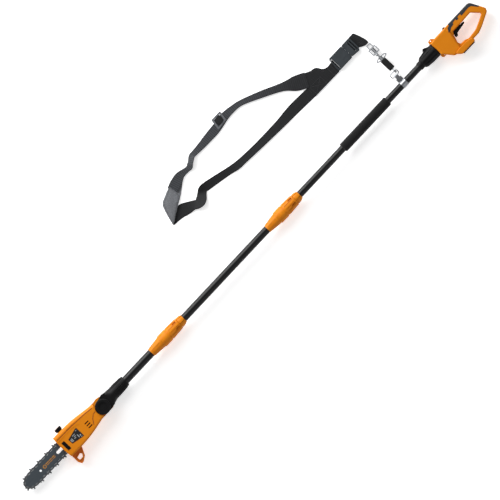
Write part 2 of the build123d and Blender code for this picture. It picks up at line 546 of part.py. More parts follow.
def strap_hardware():
    eye = rod(-3, 3, 8.6) - rod(-4, 4, 5)
    shank = block(-3, 3, 7, 13, -3, 3)
    stem = post(0, 0, 19, 84, 3.2) + Pos(0, 84, 0) * Sphere(5)
    keep("snap_hook", HOOK * (eye + shank + block(-7, 7, 12.5, 20, -4, 4) + stem))
    sleeve = fillet((Pos(0, 34, 0) * Box(23, 46, 14)).edges(), 2.5)
    sleeve = sleeve - block(-7, 7, 9, 20, -4, 4) - post(0, 0, 10, 60, 3.2)
    keep("hook_sleeve", HOOK * sleeve)
    lever = slab(Pos(2, 65.3) * (Ellipse(24, 7.7) - Ellipse(18.5, 4.2)), -2.4, 2.4) + post(0, 0, 57.6, 73, 7)
    keep("hook_collar", HOOK * (lever - post(0, 0, 50, 80, 3.2 + FIT)))
    bars = block(-13, 19, 90, 94, -4, 4) + block(-13, 19, 112, 116, -4, 4) + block(-13, -9, 90, 116, -4, 4)
    bars += block(15, 19, 90, 116, -4, 4) + block(-5, 5, 82, 91, -4, 4) - Pos(0, 84, 0) * Sphere(5 + FIT)
    loop = slab([(-7, 115, 1), (13, 115, 1), (13, 134, 3), (-7, 134, 3)], -1.8, 1.8)
    loop -= slab([(-3, 117, 1), (9, 117, 1), (9, 130, 2), (-3, 130, 2)], -3, 3)
    keep("roller_frame", HOOK * (bars + post(3, 0, 92, 114, 2.2) + loop))
    keep("roller", HOOK * (post(3, 0, 94.3, 111.7, 6) - post(3, 0, 80, 130, 2.2 + FIT)))


def buckle():
    z0, z1 = FLOOR, FLOOR + 14
    tab = slab([(1506.5, 199), (1528, 188, 3), (1543, 190, 3), (1541, 215, 8), (1526, 251, 4), (1506.5, 251)],
               FLOOR, FLOOR + 5)
    keep("buckle_tab", tab)
    socket = slab([(1398, 194, 6), (1466, 194, 6), (1466, 250, 6), (1402, 250, 6)], z0, z1)
    throat = block(1420, 1470, 202, 242, z0 + 3.5, z1 - 3.5)
    button_seat = slab([(1437, 195.5, 2), (1463, 195.5, 2), (1463, 212, 2), (1437, 212, 2)], z1 - 3.3, z1 + 1)
    bar_slot = block(1404, 1410, 201, 243, z0 - 1, z1 + 1)
    keep("buckle_socket", socket - throat - button_seat - bar_slot)
    prongs = block(1422, 1480, 203, 211, z0 + 4, z1 - 4) + block(1422, 1480, 233, 241, z0 + 4, z1 - 4)
    prongs += block(1440, 1480, 218, 226, z0 + 4, z1 - 4)
    head = slab([(1466.5, 196, 3), (1500, 192, 4), (1506, 202, 3), (1506, 250, 4), (1466.5, 250, 3)], z0, z1)
    head -= block(1487, 1491, 202, 243, z0 - 1, z1 + 1)
    head -= block(1496, 1501, 202, 243, z0 - 1, z1 + 1)
    keep("buckle_plug", head + prongs)
    button = slab([(1437.5, 196, 2), (1462.5, 196, 2), (1462.5, 211.5, 2), (1437.5, 211.5, 2)], z1 - 1.8, z1 + 0.8)
    keep("buckle_button", button)


def webbing():
    """The webbing runs flat on the ground from the buckle, forks, and meets again at the shoulder pad."""
    stitched = outline([(1278, 194), (1396, 193), (1396, 234), (1372, 236, 6), (1352, 262, 6), (1330, 268, 6),
                        (1278, 296)])
    keep("strap_fork", slab(stitched, FLOOR, FLOOR + WEB + 2))
    keep("strap_upper_run", ribbon(
        [(1276, 297), (1226, 317), (1155, 352), (1085, 381), (1015, 396), (965, 392), (892, 384), (840, 380),
         (822, 375), (795, 355), (752, 366), (714, 363)],
        [(1276, 236), (1226, 281), (1155, 324), (1085, 361), (1015, 366), (965, 360), (892, 355), (840, 355),
         (822, 353), (795, 336), (752, 338), (714, 324)]))
    keep("strap_lower_run", ribbon(
        [(1276, 235), (1190, 240), (1120, 236), (1015, 238), (917, 246), (875, 254), (788, 274), (760, 273),
         (735, 259), (717, 255), (700, 262), (668, 283), (655, 283)],
        [(1276, 194), (1190, 201), (1120, 202), (1015, 210), (917, 216), (840, 231), (774, 246), (749, 232),
         (728, 219), (700, 229), (665, 235), (640, 243), (615, 248)]))


def tri_glide():
    frame = outline([(958, 362, 3), (1003, 367, 3), (1010, 404, 3), (966, 404, 3)])
    windows = outline([(966, 369, 2), (980, 370, 2), (984, 398, 2), (972, 398, 2)])
    windows += outline([(986, 371, 2), (997, 372, 2), (1003, 398, 2), (990, 398, 2)])
    keep("strap_slider", slab(frame - windows, FLOOR + WEB + 0.2, FLOOR + WEB + 4.6))


def shoulder_pad():
    edge = outline([(608, 249, 4), (637, 328, 8), (697, 352, 6), (747, 336, 4), (702, 303, 10), (667, 285, 8)])
    keep("shoulder_pad", slab(edge, FLOOR + WEB + 0.3, FLOOR + WEB + 11))


for make in (head_shells, sprocket_cover, branch_hook, oil_system, guide_bar, saw_chain, drive_train, tilt_joint,
             head_yoke, tubes, upper_fittings, coupler, handle, handle_insides, lead, strap_hardware, buckle,
             webbing, tri_glide, shoulder_pad):
    make()
collar(1, COLLARS[0], LOWER_R, MID_R)
collar(2, COLLARS[1], MID_R, UPPER_R)

for name, shape in PARTS.items():
    export_step(PLACE * shape, f"parts/{name}.step")
print(len(PARTS), "parts")
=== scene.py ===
"""Telescoping pole saw, laid on its side on a pale floor: finishes, sewn strap and small details."""
import math

import bmesh
import bpy
from mathutils import Matrix, Vector


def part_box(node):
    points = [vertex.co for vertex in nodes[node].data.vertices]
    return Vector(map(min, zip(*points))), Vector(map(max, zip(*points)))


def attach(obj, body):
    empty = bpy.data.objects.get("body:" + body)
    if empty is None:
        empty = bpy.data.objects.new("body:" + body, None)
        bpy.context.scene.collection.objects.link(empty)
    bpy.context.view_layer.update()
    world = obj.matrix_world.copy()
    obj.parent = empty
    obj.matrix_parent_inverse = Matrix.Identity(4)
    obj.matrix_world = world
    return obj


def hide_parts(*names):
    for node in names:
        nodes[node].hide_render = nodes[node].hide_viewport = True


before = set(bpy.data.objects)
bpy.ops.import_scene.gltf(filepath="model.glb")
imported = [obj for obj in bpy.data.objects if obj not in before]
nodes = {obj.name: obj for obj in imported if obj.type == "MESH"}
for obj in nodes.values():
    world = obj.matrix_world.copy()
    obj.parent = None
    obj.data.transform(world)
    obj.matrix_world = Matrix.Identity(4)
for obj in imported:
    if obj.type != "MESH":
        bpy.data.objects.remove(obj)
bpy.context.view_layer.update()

MM = 0.001
tube_low, tube_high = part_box("lower_tube")
TUBE_START = 20.0          # where the lower tube begins along the pole, in mm
AXIS = Vector((tube_low.x - TUBE_START * MM, (tube_low.y + tube_high.y) / 2, (tube_low.z + tube_high.z) / 2))
HALF = AXIS.z / MM         # height of the pole's axis over the floor, in mm


def at(x, y, z=0.0):
    """A point given along the pole, across it and above its axis, in mm."""
    return AXIS + Vector((x, y, z)) * MM


# ---- materials ----------------------------------------------------------------------------------
def linear(code):
    """An sRGB hex colour as the linear colour that the shaders take."""
    parts = [int(code[i:i + 2], 16) / 255 for i in (1, 3, 5)]
    return tuple(c / 12.92 if c <= 0.04045 else ((c + 0.055) / 1.055) ** 2.4 for c in parts) + (1.0,)


def add(tree, kind, inputs=None, **settings):
    """One shader node: its settings, then each input's value or the socket that feeds it."""
    made = tree.nodes.new("ShaderNode" + kind)
    for key, value in settings.items():
        setattr(made, key, value)
    for key, value in (inputs or {}).items():
        if isinstance(value, bpy.types.NodeSocket):
            tree.links.new(value, made.inputs[key])
        else:
            made.inputs[key].default_value = value
    return made


def start(name, **fixed):
    """A material with its shader's constant values set on the shader itself."""
    made = bpy.data.materials.new(name)
    made.use_nodes = True
    tree = made.node_tree
    shader = tree.nodes["Principled BSDF"]
    for key, value in fixed.items():
        shader.inputs[key.replace("_", " ").title().replace("Ior", "IOR")].default_value = value
    return made, tree, shader


def shade(tree, factor, dark, light):
    """A colour between two hex colours."""
    ramp = add(tree, "ValToRGB", {"Fac": factor})
    ramp.color_ramp.elements[0].color = linear(dark)
    ramp.color_ramp.elements[1].color = linear(light)
    return ramp.outputs["Color"]


def finish(tree, shader, colour, roughness, height, depth, strength=1.0):
    """Colour, a roughness range and a relief of the given depth in mm."""
    tree.links.new(colour, shader.inputs["Base Color"])
    span = add(tree, "MapRange", {"Value": roughness[0], "To Min": roughness[1], "To Max": roughness[2]})
    tree.links.new(span.outputs["Result"], shader.inputs["Roughness"])
    bump = add(tree, "Bump", {"Height": height, "Distance": depth * MM, "Strength": strength})
    tree.links.new(bump.outputs["Normal"], shader.inputs["Normal"])


def noise(tree, size_mm, detail=2.0, stretch=(1, 1, 1)):
    """Soft variation whose blobs are about size_mm across, stretched along an axis if asked."""
    place = add(tree, "TexCoord").outputs["Object"]
    scaled = add(tree, "Mapping", {"Vector": place, "Scale": stretch})
    made = add(tree, "TexNoise", {"Vector": scaled.outputs["Vector"], "Scale": 1000 / size_mm,
                                  "Detail": detail})
    return made.outputs["Fac"]


def seam(tree, height_mm, half_width_mm=0.28):
    """1 along the parting line where two moulded shells meet, 0 elsewhere."""
    place = add(tree, "TexCoord").outputs["Object"]
    split = add(tree, "SeparateXYZ", {"Vector": place}).outputs["Z"]
    off = add(tree, "Math", {0: split, 1: height_mm * MM}, operation="SUBTRACT").outputs[0]
    far = add(tree, "Math", {0: off}, operation="ABSOLUTE").outputs[0]
    return add(tree, "Math", {0: far, 1: half_width_mm * MM}, operation="LESS_THAN").outputs[0]


def moulded_abs(name, dark, light, split=False):
    # ABS from a spark-eroded mould: satin, even colour, a fine leathery grain about 0.9 mm across
    made, tree, shader = start(name, ior=1.5, specular_ior_level=0.12)
    broad = noise(tree, 90)
    grain = noise(tree, 0.9, 3)
    colour = shade(tree, broad, dark, light)
    height = grain
    if split:
        line = seam(tree, HALF)
        colour = add(tree, "Mix", {0: line, 6: colour, 7: linear("#4A2208")}, data_type="RGBA").outputs[2]
        height = add(tree, "Math", {0: line, 1: -3.0, 2: grain}, operation="MULTIPLY_ADD").outputs[0]
    finish(tree, shader, colour, (noise(tree, 22), 0.34, 0.46), height, 0.05, 0.5)
    return made


def filled_nylon(name, dark, light, rough=(0.42, 0.6), grain_mm=0.8):
    # glass-filled nylon: dull black with paler fibre speckle at the surface and rubbed patches
    made, tree, shader = start(name, ior=1.45, specular_ior_level=0.22)
    speckle = noise(tree, grain_mm, 4)
    colour = shade(tree, noise(tree, 30, 4), dark, light)
    finish(tree, shader, colour, (noise(tree, 16, 3), *rough), speckle, 0.08, 0.6)
    return made


def soft_elastomer():
    # thermoplastic elastomer over the grip: blue-black, matt, with a pebbled touch surface
    made, tree, shader = start("thermoplastic_elastomer", ior=1.5, sheen_weight=0.15, sheen_roughness=0.5)
    place = add(tree, "TexCoord").outputs["Object"]
    cells = add(tree, "TexVoronoi", {"Vector": place, "Scale": 1000 / 1.6}, feature="SMOOTH_F1")
    colour = shade(tree, noise(tree, 24, 3), "#171C22", "#252B32")
    finish(tree, shader, colour, (noise(tree, 10), 0.55, 0.72), cells.outputs["Distance"], 0.12, 0.7)
    return made


def anodised_tube():
    # drawn aluminium tube, anodised black: die lines run along it and it takes a soft long highlight
    made, tree, shader = start("black_anodised_aluminium", ior=1.42, specular_ior_level=0.3,
                              coat_weight=0.12, coat_roughness=0.16)
    lines = noise(tree, 0.8, 3, (0.02, 1, 1))
    scuffs = noise(tree, 26, 6, (0.35, 1, 1))
    colour = shade(tree, scuffs, "#050506", "#0E0F10")
    finish(tree, shader, colour, (scuffs, 0.26, 0.44), lines, 0.02, 0.35)
    return made


def eva_foam():
    # closed-cell EVA foam: dead matt, with a skin of small pores about 1.5 mm across
    made, tree, shader = start("closed_cell_eva_foam", ior=1.45, specular_ior_level=0.3,
                              sheen_weight=0.1, sheen_roughness=0.6)
    place = add(tree, "TexCoord").outputs["Object"]
    pores = add(tree, "TexVoronoi", {"Vector": place, "Scale": 1000 / 1.5}).outputs["Distance"]
    colour = shade(tree, noise(tree, 18, 4), "#050506", "#0D0E0F")
    finish(tree, shader, colour, (pores, 0.86, 0.98), pores, 0.35, 0.9)
    return made


def coated_bar():
    # bar steel, ground lengthwise and coated slate grey: streaks along it
    made, tree, shader = start("coated_bar_steel", metallic=0.55)
    streaks = noise(tree, 2.2, 5, (0.05, 1, 1))
    colour = shade(tree, streaks, "#3A4147", "#575F65")
    finish(tree, shader, colour, (streaks, 0.36, 0.52), streaks, 0.03, 0.5)
    return made


def plated_steel(name, dark, light, rough, metallic=1.0):
    # pressed and plated steel: bright, with a faint cloudiness and handling marks
    made, tree, shader = start(name, metallic=metallic)
    cloud = noise(tree, 5, 5)
    finish(tree, shader, shade(tree, cloud, dark, light), (cloud, *rough), noise(tree, 1.2, 2), 0.02, 0.4)
    return made


def woven_nylon(name, dark, light, rib_mm=7.0, fade=False):
    # nylon webbing: weft ribs run across it and warp yarns along it; real ribs are 1.8 mm apart and are
    # drawn about four times as coarse so that they still show with the whole saw in view
    made, tree, shader = start(name, ior=1.5, specular_ior_level=0.3, sheen_weight=0.15, sheen_roughness=0.4)
    along = add(tree, "UVMap", uv_map="cloth").outputs["UV"]
    split = add(tree, "SeparateXYZ", {"Vector": along})
    turn = 2 * math.pi * 1000
    ribs = add(tree, "Math", {0: split.outputs["X"], 1: turn / rib_mm}, operation="MULTIPLY").outputs[0]
    ribs = add(tree, "Math", {0: ribs}, operation="SINE").outputs[0]
    yarns = add(tree, "Math", {0: split.outputs["Y"], 1: turn / 2.2}, operation="MULTIPLY").outputs[0]
    yarns = add(tree, "Math", {0: yarns}, operation="SINE").outputs[0]
    cloth = add(tree, "Math", {0: yarns, 1: 0.35, 2: ribs}, operation="MULTIPLY_ADD").outputs[0]
    level = add(tree, "MapRange", {"Value": cloth, "From Min": -1.35, "From Max": 1.35}).outputs[0]
    blend = add(tree, "Math", {0: noise(tree, 14, 4), 1: 0.5, 2: level}, operation="MULTIPLY_ADD").outputs[0]
    if fade:
        # the cloth is paler where it has been in the sun: from 50 mm along the run, fully by 300 mm
        sun = add(tree, "MapRange", {"Value": split.outputs["X"], "From Min": 0.05, "From Max": 0.30,
                                     "To Min": 0.35, "To Max": 1.0}).outputs[0]
        blend = add(tree, "Math", {0: blend, 1: sun}, operation="MULTIPLY").outputs[0]
    finish(tree, shader, shade(tree, blend, dark, light), (level, 0.7, 0.9), level, 0.35, 0.8)
    return made


def pad_mesh_cloth():
    # air-mesh polyester over foam: mid grey, small staggered holes, slight sheen
    made, tree, shader = start("polyester_air_mesh", ior=1.5, sheen_weight=0.4, sheen_roughness=0.45)
    place = add(tree, "TexCoord").outputs["Object"]
    cells = add(tree, "TexVoronoi", {"Vector": place, "Scale": 1000 / 3.2}).outputs["Distance"]
    blend = add(tree, "Math", {0: noise(tree, 20, 4), 1: 0.35, 2: cells}, operation="MULTIPLY_ADD").outputs[0]
    finish(tree, shader, shade(tree, blend, "#46474B", "#6C6E72"), (cells, 0.75, 0.95), cells, 0.4, 0.7)
    return made


def printed(name, dark, light):
    # screen-printed ink: flat, slightly uneven, half gloss; the same flat finish gives the strips of painted
    # shade in the head's grooves
    made, tree, shader = start(name, ior=1.5)
    finish(tree, shader, shade(tree, noise(tree, 3, 4), dark, light), (noise(tree, 4), 0.4, 0.55),
           noise(tree, 1.0), 0.02, 0.3)
    return made


ORANGE = moulded_abs("orange_abs", "#CB740F", "#DB8416", split=True)
# painted light: the branch hook is moulded in the shell's orange, and this copy is painted lighter to offset
# the shade the head casts on it
HOOK_ORANGE_PAINTED_LIGHTER = moulded_abs("orange_abs_painted_lighter", "#E07A2C", "#EC8A38")
NYLON = filled_nylon("black_glass_filled_nylon", "#030304", "#0B0B0C")
GLOSSY = filled_nylon("black_acetal", "#030304", "#0B0B0C", (0.25, 0.4), 1.4)
GREY_ACETAL = filled_nylon("charcoal_acetal", "#2B2F32", "#3F4448", (0.34, 0.5), 1.0)
SLIDER_GREY = filled_nylon("grey_acetal", "#505256", "#696B6F", (0.34, 0.5), 1.0)
ELASTOMER = soft_elastomer()
TUBE = anodised_tube()
FOAM = eva_foam()
BAR = coated_bar()
CHAIN = plated_steel("oiled_chain_steel", "#3C3F42", "#7C7F82", (0.3, 0.5), 0.8)
ZINC = plated_steel("zinc_plated_steel", "#74777B", "#A9ABAE", (0.24, 0.42))
BLACKENED = plated_steel("black_oxide_steel", "#1B1C1E", "#34363A", (0.35, 0.5), 0.9)
BRASS = plated_steel("tinned_brass", "#B08D4A", "#D6B874", (0.25, 0.4))
WEBBING = woven_nylon("nylon_webbing", "#060607", "#1C1D1F")
WEBBING_WORN = woven_nylon("faded_nylon_webbing", "#050506", "#3C3E42", fade=True)
MESH = pad_mesh_cloth()
INK_ORANGE = printed("orange_ink", "#B0701A", "#C88A28")
# painted shade: a darker orange that stands for the shade in the head's grooves
SHADE = printed("painted_groove_shade_orange", "#8A4109", "#98490D")
INK_BLACK = printed("black_film", "#030303", "#0A0A0B")
INK_GREY = printed("grey_ink", "#8A8D90", "#A9ACAE")
RUBBER = filled_nylon("lead_rubber", "#111111", "#1C1C1C", (0.6, 0.75), 2.0)
THREAD = printed("bonded_nylon_thread", "#232427", "#3E4043")


def dress():
    """Each node's own finish."""
    finishes = {
        ORANGE: "head_shell_upper head_shell_lower sprocket_cover handle_shell_left handle_shell_right "
                "collar_1_body collar_2_body collar_1_nut collar_2_nut",
        HOOK_ORANGE_PAINTED_LIGHTER: "branch_hook",
        NYLON: "head_yoke coupler_nut coupler_latch "
               "trigger lock_off_button switch_body battery_rail hook_sleeve tilt_knob oil_tank",
        GLOSSY: "oil_cap oil_window",
        GREY_ACETAL: "buckle_socket buckle_plug buckle_button",
        SLIDER_GREY: "strap_slider",
        ELASTOMER: "grip_overmould",
        TUBE: "lower_tube mid_tube upper_tube",
        FOAM: "foam_grip",
        BAR: "guide_bar",
        CHAIN: "saw_chain",
        BLACKENED: "drive_motor head_screws handle_screws tilt_bolt",
        ZINC: "bar_stud_and_nut chain_tension_screw trigger_pin trigger_spring hanger_screw "
              "strap_hanger hanger_ring snap_hook hook_collar roller_frame roller ring_gear_shaft "
              "motor_pinion drive_sprocket shaft_bearing",
        BRASS: "battery_terminals",
        RUBBER: "coiled_lead straight_lead",
        WEBBING: "buckle_tab strap_fork strap_upper_run strap_lower_run",
        MESH: "shoulder_pad",
    }
    for material, names in finishes.items():
        for name in names.split():
            slots = nodes[name].data.materials
            slots.clear()
            slots.append(material)


# ---- making pieces ------------------------------------------------------------------------------
def piece(name, mesh, material, body, smooth=True):
    """A finished bmesh becomes an object at the origin that rides on a body."""
    bmesh.ops.recalc_face_normals(mesh, faces=mesh.faces)
    data = bpy.data.meshes.new(name)
    mesh.to_mesh(data)
    mesh.free()
    for polygon in data.polygons:
        polygon.use_smooth = smooth
    made = bpy.data.objects.new(name, data)
    bpy.context.scene.collection.objects.link(made)
    data.materials.append(material)
    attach(made, body)
    return made


def smooth_line(points, count):
    """Evenly numbered stations on a smooth curve through points of any length of tuple."""
    ends = [points[0], *points, points[-1]]
    stations = []
    for i in range(count):
        reach = i / (count - 1) * (len(points) - 1)
        k = min(int(reach), len(points) - 2)
        t = reach - k
        p0, p1, p2, p3 = ends[k:k + 4]
        stations.append(tuple(
            0.5 * (2 * b + (c - a) * t + (2 * a - 5 * b + 4 * c - d) * t ** 2
                   + (3 * b - a - 3 * c + d) * t ** 3)
            for a, b, c, d in zip(p0, p1, p2, p3)))
    return stations


LEAST_LIFT = 0.2           # the lowest that webbing may lie over the floor, in mm
WEB = 2.2                  # thickness of the webbing, in mm
EDGE_ROLL = 0.6            # how far the webbing's edges are rounded, in mm
PATCH_ROLL = 0.7           # the same for the thicker sewn patches


def webbing(name, stations, material, across=9, count=160):
    """Flat webbing along stations of (x, y, height of its middle over the floor, width, lean in degrees)."""
    line = smooth_line(stations, count)
    mesh = bmesh.new()
    bmesh.ops.create_grid(mesh, x_segments=count - 1, y_segments=across - 1, size=0.5)
    cloth = mesh.loops.layers.uv.new("cloth")
    travelled = [0.0]
    for a, b in zip(line, line[1:]):
        travelled.append(travelled[-1] + math.dist(a[:3], b[:3]))
    for face in mesh.faces:
        for loop in face.loops:
            i = round((loop.vert.co.x + 0.5) * (count - 1))
            loop[cloth].uv = (travelled[i] * MM, loop.vert.co.y * line[i][3] * MM)
    for v in mesh.verts:
        i = round((v.co.x + 0.5) * (count - 1))
        x, y, z, width, lean = line[i]
        before, after = line[max(i - 1, 0)], line[min(i + 1, count - 1)]
        along = (Vector(after[:3]) - Vector(before[:3])).normalized()
        side = Vector((-along.y, along.x, 0)).normalized()
        side = Matrix.Rotation(math.radians(lean), 3, along) @ side
        v.co = at(x, y, z - HALF) + side * (v.co.y * width * MM)
    bmesh.ops.recalc_face_normals(mesh, faces=mesh.faces)
    bmesh.ops.solidify(mesh, geom=mesh.faces[:] + mesh.edges[:] + mesh.verts[:], thickness=WEB * MM)
    for v in mesh.verts:
        v.co.z = max(v.co.z, LEAST_LIFT * MM)
    made = piece(name, mesh, material, "grip_pole")
    bevel = made.modifiers.new("rolled edge", "BEVEL")
    bevel.width = EDGE_ROLL * MM
    bevel.segments = 2
    bevel.limit_method = "ANGLE"
    return made, travelled[-1] * MM


def patch(name, corners, thick, material, lean=0.0):
    """A flat cut shape of some thickness on the floor, with rolled edges; its cloth pattern runs along a
    direction lean degrees off the pole."""
    mesh = bmesh.new()
    ring = [mesh.verts.new(at(x, y, -HALF)) for x, y in corners]
    face = mesh.faces.new(ring)
    made = bmesh.ops.extrude_face_region(mesh, geom=[face])
    tops = [v for v in made["geom"] if isinstance(v, bmesh.types.BMVert)]
    bmesh.ops.translate(mesh, verts=tops, vec=(0, 0, thick * MM))
    cloth = mesh.loops.layers.uv.new("cloth")
    turn = Matrix.Rotation(math.radians(-lean), 3, "Z")
    for f in mesh.faces:
        for loop in f.loops:
            loop[cloth].uv = (turn @ loop.vert.co).xy
    made = piece(name, mesh, material, "grip_pole", smooth=False)
    bevel = made.modifiers.new("rolled edge", "BEVEL")
    bevel.width = PATCH_ROLL * MM
    bevel.segments = 3
    bevel.limit_method = "ANGLE"
    return made


def stitches(name, lines, pitch=4.0, long=2.9, radius=0.42):
    """Rows of thread: lines of (x, y, height over the floor) points, a stitch every pitch mm."""
    mesh = bmesh.new()
    for line in lines:
        for a, b in zip(line, line[1:]):
            a, b = at(a[0], a[1], a[2] - HALF), at(b[0], b[1], b[2] - HALF)
            count = max(1, int((b - a).length / MM / pitch))
            turn = (b - a).to_track_quat("Z", "Y").to_matrix().to_4x4()
            for i in range(count):
                spot = a.lerp(b, (i + 0.5) / count)
                bmesh.ops.create_cone(mesh, cap_ends=True, segments=6, radius1=radius * MM,
                                      radius2=radius * MM, depth=long * MM,
                                      matrix=Matrix.Translation(spot) @ turn)
    return piece(name, mesh, THREAD, "grip_pole")


LATHE_STEPS = 72


def lathe(name, profile, material, body):
    """A closed profile of (along, radius) points spun round the pole's axis."""
    mesh = bmesh.new()
    ring = [mesh.verts.new((along * MM, radius * MM, 0)) for along, radius in profile]
    edges = [mesh.edges.new((a, b)) for a, b in zip(ring, ring[1:])]
    bmesh.ops.spin(mesh, geom=ring + edges, cent=(0, 0, 0), axis=(1, 0, 0), dvec=(0, 0, 0),
                   angle=2 * math.pi, steps=LATHE_STEPS, use_merge=True, use_duplicate=False)
    bmesh.ops.remove_doubles(mesh, verts=mesh.verts, dist=0.01 * MM)
    bmesh.ops.translate(mesh, verts=mesh.verts, vec=AXIS)
    return piece(name, mesh, material, body)


# ---- camera, floor and light --------------------------------------------------------------------
VIEW_MIDDLE = (727, -6)    # the point of the pole, in mm, that the camera looks at
VIEW_WIDTH = 1.75          # metres of floor across the view
POLE_SLOPE = 46.85         # degrees between the pole and the view's horizontal
LENS, SENSOR = 600, 36     # in mm; so long a lens shows almost no perspective
FAR_CLIP = 60              # metres
FLOOR_SIZE = 30            # metres
FLOOR_GAP = 0.5            # the floor lies this far under the saw, in mm
ROOM_LIGHT = 0.30
LIGHTS = [                 # name, place, size, watts
    ("softbox_side", (-0.2, 2.5, 1.3), (3.6, 0.7), 118),
    ("softbox_high", (0.2, 2.6, 3.2), (3.4, 1.6), 54),
    ("softbox_fill", (0.4, -2.8, 2.8), (3.6, 1.6), 20),
]


def set_camera():
    """A long lens straight overhead."""
    lens = bpy.data.cameras.new("camera")
    lens.lens = LENS
    lens.sensor_width = SENSOR
    lens.clip_end = FAR_CLIP
    camera = bpy.data.objects.new("camera", lens)
    middle = at(*VIEW_MIDDLE)
    camera.location = (middle.x, middle.y, AXIS.z + VIEW_WIDTH * LENS / SENSOR)
    camera.rotation_euler = (0, 0, math.radians(-POLE_SLOPE))
    bpy.context.scene.collection.objects.link(camera)
    bpy.context.scene.camera = camera


def set_floor():
    """A plain white paper floor that glows a little, so that shadows on it stay pale."""
    mesh = bmesh.new()
    bmesh.ops.create_grid(mesh, x_segments=1, y_segments=1, size=FLOOR_SIZE)
    data = bpy.data.meshes.new("pale_floor")
    mesh.to_mesh(data)
    mesh.free()
    floor = bpy.data.objects.new("pale_floor", data)
    floor.location.z = -FLOOR_GAP * MM
    bpy.context.scene.collection.objects.link(floor)
    paper, tree, shader = start("matt_white_paper", emission_color=(1, 1, 1, 1), emission_strength=0.5)
    finish(tree, shader, shade(tree, noise(tree, 900), "#F4F4F4", "#FAFAFA"), (noise(tree, 500), 0.9, 0.95),
           noise(tree, 40), 0.02, 0.1)
    data.materials.append(paper)


def set_lights():
    """Soft light from the oil cap's side, a weak fill from the other side, and an even room light."""
    for name, spot, size, watts in LIGHTS:
        lamp = bpy.data.lights.new(name, "AREA")
        lamp.shape = "RECTANGLE"
        lamp.size, lamp.size_y = size
        lamp.energy = watts
        made = bpy.data.objects.new(name, lamp)
        made.location = Vector(spot)
        made.rotation_euler = (Vector((0, 0, 0)) - Vector(spot)).to_track_quat("-Z", "Y").to_euler()
        bpy.context.scene.collection.objects.link(made)
    sky = bpy.data.worlds.new("soft room light")
    sky.use_nodes = True
    sky.node_tree.nodes["Background"].inputs["Color"].default_value = (1, 1, 1, 1)
    sky.node_tree.nodes["Background"].inputs["Strength"].default_value = ROOM_LIGHT
    bpy.context.scene.world = sky
    bpy.context.scene.view_settings.view_transform = "Standard"



# ---- strap --------------------------------------------------------------------------------------
FORK_THICK, TAB_THICK = 4.4, 5.0
THREAD_LIFT = 0.1          # how far the middle of a thread lies above the cloth, in mm


def laid_webbing(name, edges, material, leans, heights, stands_for):
    """A run of webbing on the floor between the two edges that it shows from above. Where it leans, one
    edge rests on the floor and the other stands up."""
    stations = []
    for (upper, lower), lean, lift in zip(edges, leans, heights):
        x, y = (upper[0] + lower[0]) / 2, (upper[1] + lower[1]) / 2
        seen = math.dist(upper, lower)
        wide = seen / math.cos(math.radians(lean))
        stations.append((x, y, WEB / 2 + lift + wide / 2 * abs(math.sin(math.radians(lean))), wide, lean))
    made, length = webbing(name, stations, material)
    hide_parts(stands_for)
    wide = sum(s[3] for s in stations) / len(stations) * MM


def strap_runs():
    """The two runs between the sewn fork and the pad."""
    upper = [((1300, 284), (1296, 228)), ((1262, 303), (1262, 249)), ((1226, 316), (1214, 288)),
             ((1155, 350), (1141, 329)), ((1085, 379), (1077, 360)), ((1040, 390), (1036, 365)),
             ((1005, 394), (1003, 363)), ((970, 390), (972, 357)), ((945, 388), (945, 354)),
             ((910, 385), (910, 354)), ((875, 381), (875, 355)), ((846, 379), (848, 357)),
             ((829, 378), (831, 357)), ((819, 373), (822, 353)), ((806, 363), (806, 344)),
             ((795, 358), (794, 336)), ((786, 357), (785, 337)), ((770, 361), (767, 338)),
             ((752, 366), (750, 336)), ((735, 366), (736, 329)), ((715, 362), (716, 322)),
             ((692, 354), (694, 318))]
    laid_webbing("strap_upper_webbing", upper, WEBBING_WORN,
                 [0, 0, 6, 10, 8, 6, 4, 2, 2, 4, 6, 12, 24, 40, 44, 20, 4, 0, 0, 0, 0, 0],
                 [2.4, 1.6, 0.4, 0.2, 0.2, 0.2, 0, 0, 0, 0, 0, 0.5, 0.5, 0.6, 0.8, 1, 1, 2, 4, 5.2, 5.2, 5.2],
                 "strap_upper_run")
    lower = [((1290, 235), (1290, 194)), ((1190, 240), (1190, 199)), ((1120, 236), (1120, 202)),
             ((1015, 236), (1015, 208)), ((945, 240), (945, 213)), ((912, 244), (910, 215)),
             ((875, 252), (870, 225)), ((810, 269), (805, 238)), ((785, 274), (784, 242)),
             ((768, 275), (771, 245)), ((755, 268), (756, 235)), ((742, 260), (741, 223)),
             ((730, 256), (732, 219)), ((717, 255), (720, 222)), ((707, 263), (705, 229)),
             ((690, 274), (686, 232)), ((670, 284), (662, 238)), ((650, 276), (640, 243)),
             ((626, 262), (620, 246)), ((611, 251), (608, 247))]
    laid_webbing("strap_lower_webbing", lower, WEBBING,
                 [0, 0, 4, 8, 8, 6, -4, -8, -14, -20, 10, 22, 26, 24, 10, 2, 0, 0, 0, 0],
                 [0.2, 0, 0, 0, 0, 0, 0.2, 0.4, 0.4, 0.6, 0.6, 0.3, 0, 0, 0, 0, 0, 0, 0, 0],
                 "strap_lower_run")


def strap_fork():
    """The sewn patch where the two runs meet, with a boxed cross of thread."""
    corners = [(1277, 194), (1396, 193), (1409, 199), (1409, 241), (1400, 236), (1384, 234.6),
               (1372, 236.5), (1362, 244), (1353, 260), (1344, 266), (1330, 268), (1300, 284), (1277, 296)]
    fork = patch("strap_fork_patch", corners, FORK_THICK, WEBBING)
    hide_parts("strap_fork")
    z = FORK_THICK + THREAD_LIFT
    box = [(1286, 198, z), (1338, 197, z), (1338, 230, z), (1286, 231, z), (1286, 198, z)]
    cross = [(1338, 230, z), (1286, 198, z)]
    other = [(1286, 231, z), (1338, 197, z)]
    slanted = [(1284, 287, z), (1332, 263, z), (1346, 258, z), (1354, 246, z), (1360, 233, z)]
    bars = [[(x, 196, z), (x, 232, z)] for x in (1376, 1390)]
    thread = stitches("strap_fork_stitching", [box, cross, other, slanted, *bars])


